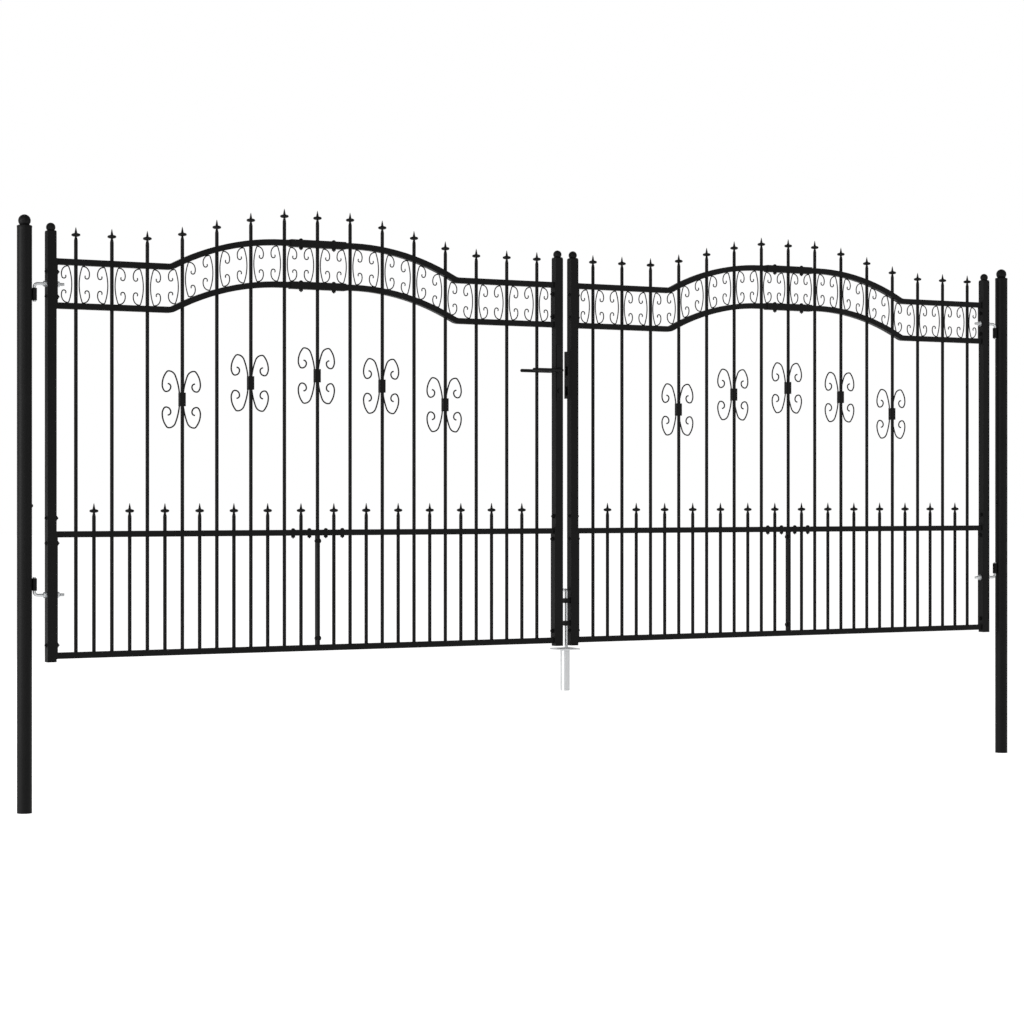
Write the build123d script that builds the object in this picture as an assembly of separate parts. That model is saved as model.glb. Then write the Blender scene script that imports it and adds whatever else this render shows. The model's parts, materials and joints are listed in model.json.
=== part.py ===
from build123d import *
import os
from math import acos, cos, radians, sin, sqrt

# Double driveway gate: two leaves with arched top rails between round posts.
# Origin at the foot of the left post, +X along the gate, +Y to the rear, +Z up. Millimetres.

# Opening
POST_SPACING = 4000.0
HINGE_GAP = 48.2
MEETING_GAP = 33.6

# Posts
POST_OD = 48.0
POST_WALL = 2.0
POST_HEIGHT = 1877.0
POST_FOOT = 4.0
POST_BALL_D = 40.0
POST_BALL_RISE = 22.0
POST_RIM_HEIGHT = 6.0
POST_RIM_OUT = 0.5

# Flat sides of the balls, bolt holes and lever grips
BALL_SIDES = 12
BALL_RINGS = 6
HOLE_SIDES = 8
GRIP_SIDES = 8

# Leaf stiles, square tube
STILE = 30.0
STILE_WALL = 1.5
STILE_BOTTOM = 481.0
STILE_TOP = 1866.0
STILE_END_WALL = 3.0
STILE_RIM_HEIGHT = 5.0
STILE_RIM_CHAMFER = 3.0
STILE_BALL_D = 30.0
STILE_BALL_RISE = 16.0

# Rails, square section, heights of their centre lines
RAIL = 20.0
BOTTOM_RAIL_Z = 501.0
MID_RAIL_Z = 892.5
BAND_RAIL_Z = 1630.5
TOP_RAIL_Z = 1772.6
SIDE_FLAT = 4.0
CENTRE_FLAT = 5.0
RAIL_JOINT_GAP = 4.0

# Arch of the two upper rails
ARCH_RISE = 99.8
ARCH_RADIUS = 850.0
ARCH_FLAT_HALF = 130.0
ARCH_BEND = 40.0

# Bars with spear points
BAR_D = 12.0
BAR_SIDES = 6
TALL_BARS = 15
END_BAY = 84.4
TALL_TIP_Z = 1887.0
TALL_TIP_STEPS = (0.0, 0.0, 0.0, 20.0, 50.0, 80.0, 100.0, 100.0)
DOG_TIP_Z = 993.0
BAR_SEAT = 1.0
CONE_HEIGHT = 19.0
CONE_BASE_D = 9.0
COLLAR_D = 29.0
COLLAR_HEIGHT = 12.5
NECK_HEIGHT = 12.5
NECK_D = 6.6
TIP_D = 1.2

# Scrolls bent from wire
BAND_WIRE = 4.0
BAR_WIRE = 5.0
SCROLL_SEAT = 0.1
BAND_SCROLL_OFFSET = 12.5
BAND_SCROLL_Y = 4.0
BAND_SCROLL_ARCS = (
    (161.6, 20.0),
    (4.5, 70.0),
    (19.6, 60.0),
    (29.4, 50.0),
    (7.2, 100.0),
    (6.1, 100.0),
)
BAR_SCROLL_OFFSET = 6.0
BAR_SCROLL_BARS = (3, 5, 7, 9, 11)
BAR_SCROLL_Z = (1336.0, 1396.0, 1426.0, 1396.0, 1336.0)
BAR_SCROLL_ARCS = (
    (209.0, 22.0),
    (25.1, 68.0),
    (9.3, 50.0),
    (66.6, 40.0),
    (31.3, 35.0),
    (9.9, 55.0),
    (16.1, 90.0),
    (10.2, 90.0),
)
CLASP_HEIGHT = 45.0
CLASP_WALL = 1.0

# Sleeves that join the rail halves
SLEEVE = 25.0
SLEEVE_LENGTH = 205.0
FIT = 0.2

# Hinges: eyes on the posts, bent bolts through the stiles
EYE_OD = 17.0
EYE_LENGTH = 40.0
PIN_D = 10.0
PIN_CLEARANCE = 0.05
HINGE_UPPER_Z = 1664.5
HINGE_LOWER_Z = 732.0
ARM_OFFSET = 34.7
PIN_END = 4.0
BOLT_TAIL = 29.4
BOLT_HOLE_FIT = 0.3

# Lever lock on the left leaf, keep on the right leaf
SPINDLE_Z = 1466.0
LOCK_LOW_Z = 1358.0
LOCK_HIGH_Z = 1558.0
LOCK_PLATE_W = 26.0
LOCK_PLATE = 3.0
ROSE_D = 24.0
ROSE = 4.0
FOREND_W = 22.0
FOREND = 2.0
CYLINDER_D = 17.0
CYLINDER_DROP = 72.0
CYLINDER_OUT = 4.0
LEVER_D = 12.0
LEVER_REACH = 45.0
LEVER_LENGTH = 127.0
LEVER_FIT = 0.3
SPINDLE_D = 10.0
KEEP_LOW_Z = 1367.0
KEEP_HIGH_Z = 1536.0
KEEP_OUT = 10.5
KEEP_DEPTH = 33.0
KEEP_WALL = 2.0
LATCH_SLOT = (16.0, 34.0)

# Drop bolt on the right leaf, and its ground socket
ROD_D = 12.0
ROD_OFFSET = 11.5
ROD_TOP_Z = 680.0
ROD_HANDLE = 60.0
ROD_TIP_GAP = 2.0
GUIDE_HEIGHT = 17.0
GUIDE_WALL = 3.0
GUIDE_CLEARANCE = 0.3
GUIDE_Z = (642.0, 561.0)
PLATE_TOP_Z = 472.0
PLATE = 5.0
PLATE_SIDE = 80.0
SOCKET_OD = 33.7
SOCKET_WALL = 2.5
SOCKET_BOTTOM_Z = 320.0
SOCKET_FLOOR = 3.0

# Derived places
HALF = POST_SPACING / 2
HINGE_X = POST_OD / 2 + HINGE_GAP + STILE / 2
MEETING_X = HALF - MEETING_GAP / 2 - STILE / 2
LEAF_X = (HINGE_X + MEETING_X) / 2
BAR_0 = HINGE_X + END_BAY
PITCH = (MEETING_X - END_BAY - BAR_0) / (TALL_BARS - 1)
AXIS_X = POST_OD / 2 + EYE_OD / 2
JOINT_X = LEAF_X + BAR_D / 2 + RAIL_JOINT_GAP
MIRROR = Plane.YZ.offset(HALF)


def box(x0, x1, y0, y1, z0, z1):
    """Solid block between two corners."""
    return Pos((x0 + x1) / 2, (y0 + y1) / 2, (z0 + z1) / 2) * Box(x1 - x0, y1 - y0, z1 - z0)


def rod(x, y, z0, z1, diameter):
    """Upright round bar."""
    return Pos(x, y, (z0 + z1) / 2) * Cylinder(diameter / 2, z1 - z0)


def arch_angle():
    """Slope at which the arch meets the small bend at its foot."""
    return acos(1 - ARCH_RISE / (ARCH_RADIUS + ARCH_BEND))


def rise(x):
    """Height of an arched rail's centre line above its flat ends."""
    along = abs(x - LEAF_X) - ARCH_FLAT_HALF
    turn = arch_angle()
    foot = (ARCH_RADIUS + ARCH_BEND) * sin(turn) - along
    if along <= 0:
        return ARCH_RISE
    if along <= ARCH_RADIUS * sin(turn):
        return ARCH_RISE - ARCH_RADIUS + sqrt(ARCH_RADIUS**2 - along**2)
    return ARCH_BEND - sqrt(ARCH_BEND**2 - foot**2) if foot > 0 else 0.0


def arch_line(z, offset):
    """Edges of an arched rail's upper or lower side, from the hinge stile to the meeting stile."""
    turn = arch_angle()
    foot = ARCH_FLAT_HALF + (ARCH_RADIUS + ARCH_BEND) * sin(turn)
    knee = ARCH_FLAT_HALF + (ARCH_RADIUS + offset) * sin(turn)
    knee_z = z + ARCH_RISE - ARCH_RADIUS + (ARCH_RADIUS + offset) * cos(turn)
    half = ARCH_FLAT_HALF + (ARCH_RADIUS + offset) * sin(turn / 2)
    half_z = z + ARCH_RISE - ARCH_RADIUS + (ARCH_RADIUS + offset) * cos(turn / 2)
    bend = foot - (ARCH_BEND - offset) * sin(turn / 2)
    bend_z = z + ARCH_BEND - (ARCH_BEND - offset) * cos(turn / 2)
    low, top = z + offset, z + ARCH_RISE + offset
    end = (MEETING_X - HINGE_X) / 2 - STILE / 2

    def side(s):
        at = lambda u, height: (LEAF_X + s * u, 0, height)
        return [
            Line(at(end, low), at(foot, low)),
            ThreePointArc(at(foot, low), at(bend, bend_z), at(knee, knee_z)),
            ThreePointArc(at(knee, knee_z), at(half, half_z), at(ARCH_FLAT_HALF, top)),
        ]

    middle = Line((LEAF_X - ARCH_FLAT_HALF, 0, top), (LEAF_X + ARCH_FLAT_HALF, 0, top))
    return side(-1) + [middle] + side(1)


def arched_rail(z):
    """One arched rail of the full leaf, its side lines closed at both ends and given the rail's depth."""
    start, end = HINGE_X + STILE / 2, MEETING_X - STILE / 2
    low, top = z - RAIL / 2, z + RAIL / 2
    ends = [Line((x, 0, low), (x, 0, top)) for x in (start, end)]
    face = make_face(arch_line(z, -RAIL / 2) + arch_line(z, RAIL / 2) + ends)
    return extrude(face, amount=RAIL / 2, dir=(0, 1, 0), both=True)


def straight_rail(z):
    """One straight rail of the full leaf."""
    return box(HINGE_X + STILE / 2, MEETING_X - STILE / 2, -RAIL / 2, RAIL / 2, z - RAIL / 2, z + RAIL / 2)


def turned(x, levels, sides):
    """Upright solid of few flat sides through rings given as (height, diameter)."""
    turns = [radians(360 * k / sides) for k in range(sides)]
    rings = [[Vector(x + d / 2 * cos(a), d / 2 * sin(a), z) for a in turns] for z, d in levels]
    around = range(sides)
    quads = [[low[k - 1], low[k], high[k], high[k - 1]] for low, high in zip(rings, rings[1:]) for k in around]
    faces = [Face(Wire.make_polygon(ring, close=True)) for ring in quads + [rings[0], rings[-1]]]
    return Solid(Shell(faces))


def spear_bar(x, z0, tip):
    """Bar of few sides with a turned spear point: neck, lens collar and cone."""
    collar_top = tip - CONE_HEIGHT
    collar_mid = collar_top - COLLAR_HEIGHT / 2
    neck_top = collar_top - COLLAR_HEIGHT
    neck_low = neck_top - NECK_HEIGHT
    levels = (
        (z0, BAR_D),
        (neck_low, BAR_D),
        (neck_top, NECK_D),
        (collar_mid, COLLAR_D),
        (collar_top, CONE_BASE_D),
        (tip, TIP_D),
    )
    return turned(x, levels, BAR_SIDES)


def bar_x(i):
    """Place of a tall bar, or of a dog bar at a half number."""
    return BAR_0 + PITCH * i


def tall_tip(i):
    """Height of a tall bar's point, stepped up towards the middle of the leaf."""
    return TALL_TIP_Z + TALL_TIP_STEPS[min(i, TALL_BARS - 1 - i)]


def lattice():
    """All bars of a leaf, as (x, solid). The middle bar stands on the mid rail."""
    middle = (TALL_BARS - 1) // 2
    foot = BOTTOM_RAIL_Z + RAIL / 2 - BAR_SEAT
    mid_top = MID_RAIL_Z + RAIL / 2 - BAR_SEAT
    bars = [
        (bar_x(i), spear_bar(bar_x(i), mid_top if i == middle else foot, tall_tip(i)))
        for i in range(TALL_BARS)
    ]
    bars += [(bar_x(i + 0.5), spear_bar(bar_x(i + 0.5), foot, DOG_TIP_Z)) for i in range(TALL_BARS - 1)]
    return bars


def panel(outer):
    """Half of a leaf's infill, welded up: rails, bars, flats for the stile and a flat at the middle."""
    bars = [solid for x, solid in lattice() if (x < JOINT_X) == outer]
    rails = Part() + [arched_rail(BAND_RAIL_Z), arched_rail(TOP_RAIL_Z), straight_rail(MID_RAIL_Z)]
    kept = Keep.BOTTOM if outer else Keep.TOP
    rails = split(rails, Plane.YZ.offset(JOINT_X), keep=kept)
    bottom = split(straight_rail(BOTTOM_RAIL_Z), Plane.YZ.offset(LEAF_X), keep=kept)
    side, inwards = (HINGE_X + STILE / 2, 1) if outer else (MEETING_X - STILE / 2, -1)
    x0, x1 = sorted((side, side + inwards * SIDE_FLAT))
    y = STILE / 2
    low_flat = box(x0, x1, -y, y, BOTTOM_RAIL_Z - RAIL / 2, MID_RAIL_Z + RAIL / 2)
    band_flat = box(x0, x1, -y, y, BAND_RAIL_Z - RAIL / 2, TOP_RAIL_Z + RAIL / 2)
    x0, x1 = sorted((LEAF_X, LEAF_X - inwards * CENTRE_FLAT))
    middle_flat = box(x0, x1, -RAIL / 2, RAIL / 2, BOTTOM_RAIL_Z - RAIL / 2, MID_RAIL_Z - RAIL / 2)
    whole = rails + ([bottom, low_flat, band_flat, middle_flat] + bars)
    return whole - bolt_holes() if outer else whole


def scroll_line(offset, arcs):
    """Half a C-scroll from its waist upwards: arcs of (radius, turn) that each start along the last one.

    All turn towards the scroll's open side. Returns points (across, up) with the heading there.
    """
    x, z, heading = offset, 0.0, 0.0
    points = [(x, z, heading)]
    for radius, turn in arcs:
        after = heading + radians(turn)
        x += radius * (cos(heading) - cos(after))
        z += radius * (sin(after) - sin(heading))
        heading = after
        points.append((x, z, heading))
    return points


def c_scroll(offset, arcs, wire, height=0.0):
    """Whole C-scroll about its waist, of square wire, stretched to a half height where one is given."""
    half = scroll_line(offset, arcs)
    k = height / (max(z for _, z, _ in half) + wire / 2) if height else 1.0
    inner = [(x + wire / 2 * cos(a), z - wire / 2 * sin(a)) for x, z, a in half]
    outer = [(x - wire / 2 * cos(a), z + wire / 2 * sin(a)) for x, z, a in half]
    upper = outer + inner[::-1]
    lower = [(x, -z) for x, z in reversed(upper[1:-1])]
    outline = [(x, 0, k * z) for x, z in upper + lower]
    return extrude(make_face(Polyline(*outline, close=True)), amount=wire / 2, dir=(0, 1, 0), both=True)


def rail_edge(x, z, side):
    """Height at x of an arched rail's upper (1) or lower (-1) face, or of the sleeve on it."""
    depth = SLEEVE if abs(x - LEAF_X) < SLEEVE_LENGTH / 2 + BAND_WIRE else RAIL
    slope = (rise(x + SCROLL_SEAT) - rise(x - SCROLL_SEAT)) / (2 * SCROLL_SEAT)
    return z + rise(x) + side * (depth / 2 * sqrt(1 + slope**2) + SCROLL_SEAT)


def band_scrolls():
    """C-scrolls between the two upper rails, backs to the bars, two in a bay and one in each end bay."""
    half = scroll_line(BAND_SCROLL_OFFSET, BAND_SCROLL_ARCS)
    crown = [(x - BAND_WIRE / 2 * cos(a), z + BAND_WIRE / 2 * sin(a)) for x, z, a in half[1:5]]
    top = max(z for _, z in crown)
    scrolls = []
    for i in range(TALL_BARS):
        for side in (-1, 1):
            places = [(bar_x(i) + side * x, top - z) for x, z in crown]
            low = max(rail_edge(x, BAND_RAIL_Z, 1) - drop for x, drop in places)
            high = min(rail_edge(x, TOP_RAIL_Z, -1) + drop for x, drop in places)
            scroll = c_scroll(BAND_SCROLL_OFFSET, BAND_SCROLL_ARCS, BAND_WIRE, (high - low) / 2)
            if side < 0:
                scroll = mirror(scroll, about=Plane.YZ)
            scrolls.append(Pos(bar_x(i), BAND_SCROLL_Y, (low + high) / 2) * scroll)
    return Compound(children=scrolls)


def bar_scrolls():
    """Pairs of C-scrolls, back to back behind every other tall bar, each pair clasped to its bar."""
    half = c_scroll(BAR_SCROLL_OFFSET, BAR_SCROLL_ARCS, BAR_WIRE)
    way = BAR_D / 2 + FIT
    y = way + BAR_WIRE / 2
    front, rear = way + CLASP_WALL, way + BAR_WIRE + CLASP_WALL
    clasp_x = BAR_SCROLL_OFFSET + BAR_WIRE / 2 + CLASP_WALL
    clasp = box(-clasp_x, clasp_x, -front, rear, -CLASP_HEIGHT / 2, CLASP_HEIGHT / 2)
    pair = clasp + [Pos(0, y, 0) * half, Pos(0, y, 0) * mirror(half, about=Plane.YZ)]
    pair -= box(-way, way, -way, way, -CLASP_HEIGHT, CLASP_HEIGHT)
    return Compound(children=[Pos(bar_x(i), 0, z) * pair for i, z in zip(BAR_SCROLL_BARS, BAR_SCROLL_Z)])


def rail_sleeves():
    """Straight sleeves over the joint of the two upper rails, holed for the middle bar."""
    middle = (TALL_BARS - 1) // 2
    way = BAR_D / 2 + FIT
    hole = RAIL / 2 + FIT
    sleeves = []
    for z in (BAND_RAIL_Z + ARCH_RISE, TOP_RAIL_Z + ARCH_RISE):
        x0, x1 = LEAF_X - SLEEVE_LENGTH / 2, LEAF_X + SLEEVE_LENGTH / 2
        tube = box(x0, x1, -SLEEVE / 2, SLEEVE / 2, z - SLEEVE / 2, z + SLEEVE / 2)
        tube -= box(x0, x1, -hole, hole, z - hole, z + hole)
        tube -= box(bar_x(middle) - way, bar_x(middle) + way, -way, way, z - SLEEVE, z + SLEEVE)
        sleeves.append(tube)
    return Compound(children=sleeves)


def bolt_holes():
    """Holes for the hinge bolts, through the hinge stile and the flats bolted to it."""
    outline = Plane.YZ * RegularPolygon(PIN_D / 2 + BOLT_HOLE_FIT, HOLE_SIDES, major_radius=False)
    hole = extrude(outline, amount=STILE, both=True)
    return [Pos(HINGE_X, 0, z) * hole for z in (arm_z(HINGE_UPPER_Z, 1), arm_z(HINGE_LOWER_Z, -1))]


def stile(x):
    """Square tube closed at its foot, with holes where the hinge bolts pass the hinge stile."""
    half, inner = STILE / 2, STILE / 2 - STILE_WALL
    tube = box(x - half, x + half, -half, half, STILE_BOTTOM, STILE_TOP)
    tube -= box(x - inner, x + inner, -inner, inner, STILE_BOTTOM + STILE_END_WALL, STILE_TOP)
    return tube - bolt_holes() if x == HINGE_X else tube


def ball_cap(x, z, rim, ball_d, ball_rise):
    """Ball of few sides standing on a rim, cut flat where it sits."""
    turns = [radians(-50 + 140 * k / BALL_RINGS) for k in range(BALL_RINGS)]
    levels = [(ball_rise + ball_d / 2 * sin(a), ball_d * cos(a)) for a in turns]
    levels.append((ball_rise + ball_d / 2, ball_d / 6))
    return Pos(x, 0, z) * (rim + turned(0, levels, BALL_SIDES))


def post(x):
    """Round tube set in the ground, closed at its foot."""
    tube = rod(x, 0, 0, POST_HEIGHT, POST_OD)
    return tube - rod(x, 0, POST_FOOT, POST_HEIGHT, POST_OD - 2 * POST_WALL)


def post_cap(x):
    """Ball cap resting on the post."""
    across = POST_OD + 2 * POST_RIM_OUT
    rim = turned(0, ((0, across), (POST_RIM_HEIGHT, across)), 2 * BALL_SIDES)
    return ball_cap(x, POST_HEIGHT, rim, POST_BALL_D, POST_BALL_RISE)


def stile_cap(x):
    """Ball cap with a square chamfered rim resting on a stile."""
    rim = Pos(0, 0, STILE_RIM_HEIGHT / 2) * Box(STILE, STILE, STILE_RIM_HEIGHT)
    rim = chamfer(rim.faces().sort_by(Axis.Z)[-1].edges(), STILE_RIM_CHAMFER)
    return ball_cap(x, STILE_TOP, rim, STILE_BALL_D, STILE_BALL_RISE)


def arm_z(eye_z, up):
    """Height of a hinge bolt's arm above or below its eye."""
    return eye_z + up * ARM_OFFSET


def hinge_eyes():
    """Short barrels welded to the post, bored for the hinge pins."""
    eyes = []
    for z in (HINGE_UPPER_Z, HINGE_LOWER_Z):
        z0, z1 = z - EYE_LENGTH / 2, z + EYE_LENGTH / 2
        eye = rod(AXIS_X, 0, z0, z1, EYE_OD) - rod(AXIS_X, 0, z0, z1, PIN_D + 2 * PIN_CLEARANCE)
        eyes.append(eye)
    return Compound(children=eyes)


def hinge_bolts():
    """Bent bolts: an arm through the stile, then a pin down into the upper eye and up into the lower one."""
    bolts = []
    for eye_z, up in ((HINGE_UPPER_Z, 1), (HINGE_LOWER_Z, -1)):
        z = arm_z(eye_z, up)
        pin_end = eye_z - up * (EYE_LENGTH / 2 + PIN_END)
        tail = HINGE_X + STILE / 2 + BOLT_TAIL
        path = Polyline((AXIS_X, 0, pin_end), (AXIS_X, 0, z), (tail, 0, z))
        start = Plane(origin=(AXIS_X, 0, pin_end), z_dir=(0, 0, up))
        bolts.append(sweep(start * Circle(PIN_D / 2), path=path, transition=Transition.RIGHT))
    return Compound(children=bolts)


def lock_case():
    """Lock plates on both faces of the meeting stile, key cylinder and forend plate."""
    x, half = MEETING_X, STILE / 2
    w = LOCK_PLATE_W / 2
    pieces = []
    for s in (-1, 1):
        y0, y1 = sorted((s * half, s * (half + LOCK_PLATE)))
        plate = box(x - w, x + w, y0, y1, LOCK_LOW_Z, LOCK_HIGH_Z)
        key_y = s * (half + LOCK_PLATE + CYLINDER_OUT / 2)
        key = Rotation(90, 0, 0) * Cylinder(CYLINDER_D / 2, CYLINDER_OUT)
        plate += Pos(x, key_y, SPINDLE_Z - CYLINDER_DROP) * key
        way = Rotation(90, 0, 0) * Cylinder(SPINDLE_D / 2 + LEVER_FIT, 4 * STILE)
        pieces.append(plate - Pos(x, 0, SPINDLE_Z) * way)
    f = FOREND_W / 2
    pieces.append(box(x + half, x + half + FOREND, -f, f, LOCK_LOW_Z, LOCK_HIGH_Z))
    return Compound(children=pieces)


def lock_stile():
    """Meeting stile of the left leaf, bored for the lever's spindle."""
    outline = Plane.XZ * RegularPolygon(SPINDLE_D / 2 + LEVER_FIT, HOLE_SIDES, major_radius=False)
    return stile(MEETING_X) - Pos(MEETING_X, 0, SPINDLE_Z) * extrude(outline, amount=STILE, both=True)


def lever():
    """Two lever handles on one spindle, pointing back along the leaf."""
    plate = STILE / 2 + LOCK_PLATE + LEVER_FIT
    handle = Rotation(90, 0, 0) * Cylinder(SPINDLE_D / 2, 2 * (plate + ROSE))
    for s in (-1, 1):
        rose = Pos(0, s * (plate + ROSE / 2), 0) * Rotation(90, 0, 0) * Cylinder(ROSE_D / 2, ROSE)
        line = Polyline((0, s * plate, 0), (0, s * LEVER_REACH, 0), (-LEVER_LENGTH, s * LEVER_REACH, 0))
        start = Plane(origin=(0, s * plate, 0), z_dir=(0, s, 0))
        grip = start * RegularPolygon(LEVER_D / 2, GRIP_SIDES)
        handle += [rose, sweep(grip, path=line, transition=Transition.RIGHT)]
    return Pos(MEETING_X, 0, SPINDLE_Z) * handle


def keep_box():
    """Keep on the right leaf's meeting stile, a shallow box with slots for latch and dead bolt."""
    x1 = 2 * HALF - MEETING_X - STILE / 2
    x0 = x1 - KEEP_OUT
    d = KEEP_DEPTH / 2
    body = box(x0, x1, -d, d, KEEP_LOW_Z, KEEP_HIGH_Z)
    for z in (SPINDLE_Z, SPINDLE_Z - CYLINDER_DROP):
        w, h = LATCH_SLOT
        body -= box(x0, x1 - KEEP_WALL, -w / 2, w / 2, z - h / 2, z + h / 2)
    return body


def rod_x():
    """Centre of the drop rod, beside the right leaf's meeting stile."""
    return 2 * HALF - MEETING_X - STILE / 2 - ROD_OFFSET


def drop_guides():
    """Guides for the drop rod on the stile's face."""
    x1 = 2 * HALF - MEETING_X - STILE / 2
    r = ROD_D / 2 + GUIDE_CLEARANCE
    half = r + GUIDE_WALL
    guides = []
    for z in GUIDE_Z:
        block = box(rod_x() - half, x1, -half, half, z - GUIDE_HEIGHT / 2, z + GUIDE_HEIGHT / 2)
        guides.append(block - rod(rod_x(), 0, z - GUIDE_HEIGHT, z + GUIDE_HEIGHT, 2 * r))
    return Compound(children=guides)


def drop_rod():
    """Drop rod bent over at its top to a short handle pointing to the rear."""
    x, tip = rod_x(), PLATE_TOP_Z + ROD_TIP_GAP
    line = Polyline((x, 0, tip), (x, 0, ROD_TOP_Z), (x, ROD_HANDLE, ROD_TOP_Z))
    return sweep(Plane(origin=(x, 0, tip)) * Circle(ROD_D / 2), path=line, transition=Transition.RIGHT)


def ground_socket():
    """Socket tube with its plate, set between the leaves. The plate's hole is the tube's bore."""
    half = PLATE_SIDE / 2
    plate = box(HALF - half, HALF + half, -half, half, PLATE_TOP_Z - PLATE, PLATE_TOP_Z)
    tube = rod(HALF, 0, SOCKET_BOTTOM_Z, PLATE_TOP_Z, SOCKET_OD)
    bore = SOCKET_OD - 2 * SOCKET_WALL
    return plate + tube - rod(HALF, 0, SOCKET_BOTTOM_Z + SOCKET_FLOOR, PLATE_TOP_Z, bore)


def right(shape):
    """The same piece on the other half of the gate."""
    return mirror(shape, about=MIRROR)


os.makedirs("parts", exist_ok=True)

nodes = {
    "left_post": post(0),
    "right_post": post(POST_SPACING),
    "post_caps": Compound(children=[post_cap(0), post_cap(POST_SPACING)]),
    "ground_socket": ground_socket(),
    "left_hinge_eyes": hinge_eyes(),
    "left_hinge_stile": stile(HINGE_X),
    "left_stile_caps": Compound(children=[stile_cap(HINGE_X), stile_cap(MEETING_X)]),
    "left_outer_panel": panel(True),
    "left_inner_panel": panel(False),
    "left_band_scrolls": band_scrolls(),
    "left_bar_scrolls": bar_scrolls(),
    "left_rail_sleeves": rail_sleeves(),
    "left_hinge_bolts": hinge_bolts(),
}
sided = {name: shape for name, shape in nodes.items() if "left" in name and "post" not in name}
nodes |= {name.replace("left", "right"): right(shape) for name, shape in sided.items()}
nodes |= {
    "left_lock_stile": lock_stile(),
    "lock_case": lock_case(),
    "lock_lever": lever(),
    "right_meeting_stile": right(stile(MEETING_X)),
    "keep_box": keep_box(),
    "drop_guides": drop_guides(),
    "drop_rod": drop_rod(),
}

for name, shape in nodes.items():
    export_step(shape, f"parts/{name}.step")
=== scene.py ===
import json
import math

import bpy
import numpy as np
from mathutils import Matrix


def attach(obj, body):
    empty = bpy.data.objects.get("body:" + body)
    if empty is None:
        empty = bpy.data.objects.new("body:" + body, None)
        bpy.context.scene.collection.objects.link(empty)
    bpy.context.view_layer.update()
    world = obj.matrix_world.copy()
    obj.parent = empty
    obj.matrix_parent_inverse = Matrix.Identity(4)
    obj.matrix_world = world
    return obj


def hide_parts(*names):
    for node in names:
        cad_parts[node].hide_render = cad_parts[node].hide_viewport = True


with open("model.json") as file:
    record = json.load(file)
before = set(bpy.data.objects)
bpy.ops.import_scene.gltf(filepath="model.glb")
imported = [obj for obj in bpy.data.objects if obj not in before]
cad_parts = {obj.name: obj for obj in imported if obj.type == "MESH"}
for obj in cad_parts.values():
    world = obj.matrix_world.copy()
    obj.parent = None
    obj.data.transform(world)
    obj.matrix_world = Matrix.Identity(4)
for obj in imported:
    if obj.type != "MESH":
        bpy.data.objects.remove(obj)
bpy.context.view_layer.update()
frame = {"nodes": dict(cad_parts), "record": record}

bl_info = {
    "name": "Driveway gate",
    "version": (1, 0, 0),
    "blender": (4, 5, 0),
    "location": "View3D > Sidebar > Gate",
    "description": "Dresses the double driveway gate: bars, scrolls, caps, hinges, lock, bolts and the stage",
    "category": "Add Mesh",
}

# Leaves, the right one mirrored from the left one
SIDES = (("left", False), ("right", True))

# Places and sizes of the frame that the pieces fit, in metres
GATE = 4.0
HINGE_X = 0.0872
MEETING_X = 1.9682
LEAF_X = (HINGE_X + MEETING_X) / 2
TALL_BARS = 15
FIRST_BAR, BAY = 0.0844, 0.1223
BAR_X = HINGE_X + FIRST_BAR + BAY * np.arange(TALL_BARS)
TALL_TIP, DOG_TIP = 1.887, 0.993
TIP_STEPS = np.array((0, 0, 0, 20, 50, 80, 100, 100, 100, 80, 50, 20, 0, 0, 0)) / 1000
BOTTOM_RAIL, MID_RAIL, BAND_RAIL, TOP_RAIL = 0.501, 0.8925, 1.6305, 1.7726
RAIL_HALF = 0.01
ARCH_RISE, ARCH_RADIUS, FOOT_RADIUS = 0.0998, 0.85, 0.04
ARCH_FLAT_HALF = 0.13
SLEEVE_HALF, SLEEVE_REACH = 0.0125, 0.1025
POST_TOP, POST_RADIUS = 1.877, 0.024
STILE_TOP, STILE_HALF = 1.866, 0.015
SIDE_FLAT, MIDDLE_FLAT_HALF = 0.004, 0.005
HINGES = ((1.6645, 1), (0.732, -1))
AXIS_X, ARM_OFFSET = 0.0325, 0.0347
SPINDLE_Z = 1.466
LOCK_FACE = 0.018
ROD_X, ROD_TIP, ROD_TOP, ROD_HANDLE = 2.0053, 0.474, 0.68, 0.06

# Bars: how far they sink into a rail, and the neck and collar under the cone
BAR_SINK = 0.0005
NECK_RADIUS, NECK_UNDER_COLLAR = 0.0045, 0.0034
COLLAR_OUT, COLLAR_HALF_HEIGHT, COLLAR_DROP = 0.010, 0.00625, 0.02525

# Scrolls: arcs as (radius, degrees) from the waist to the curl's end
BAND_ARCS = ((0.1616, 20), (0.0045, 70), (0.0196, 60), (0.0294, 50), (0.0072, 100), (0.0061, 100))
BAND_START, BAND_Y = 0.0125, 0.004
BAR_ARCS = ((0.209, 22), (0.0251, 68), (0.0093, 50), (0.0666, 40), (0.0313, 35), (0.0099, 55),
            (0.0161, 90), (0.0102, 90))
BAR_START, BAR_Y = 0.006, 0.0087
BAR_SCROLLS = ((3, 1.336), (5, 1.396), (7, 1.426), (9, 1.396), (11, 1.336))
CLASP_HALF, CLASP_HEIGHT, CLASP_WALL = 0.0095, 0.045, 0.001
CLASP_FRONT, CLASP_REAR = -0.0072, 0.0122
SLOPE_STEP = 0.0001

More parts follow.
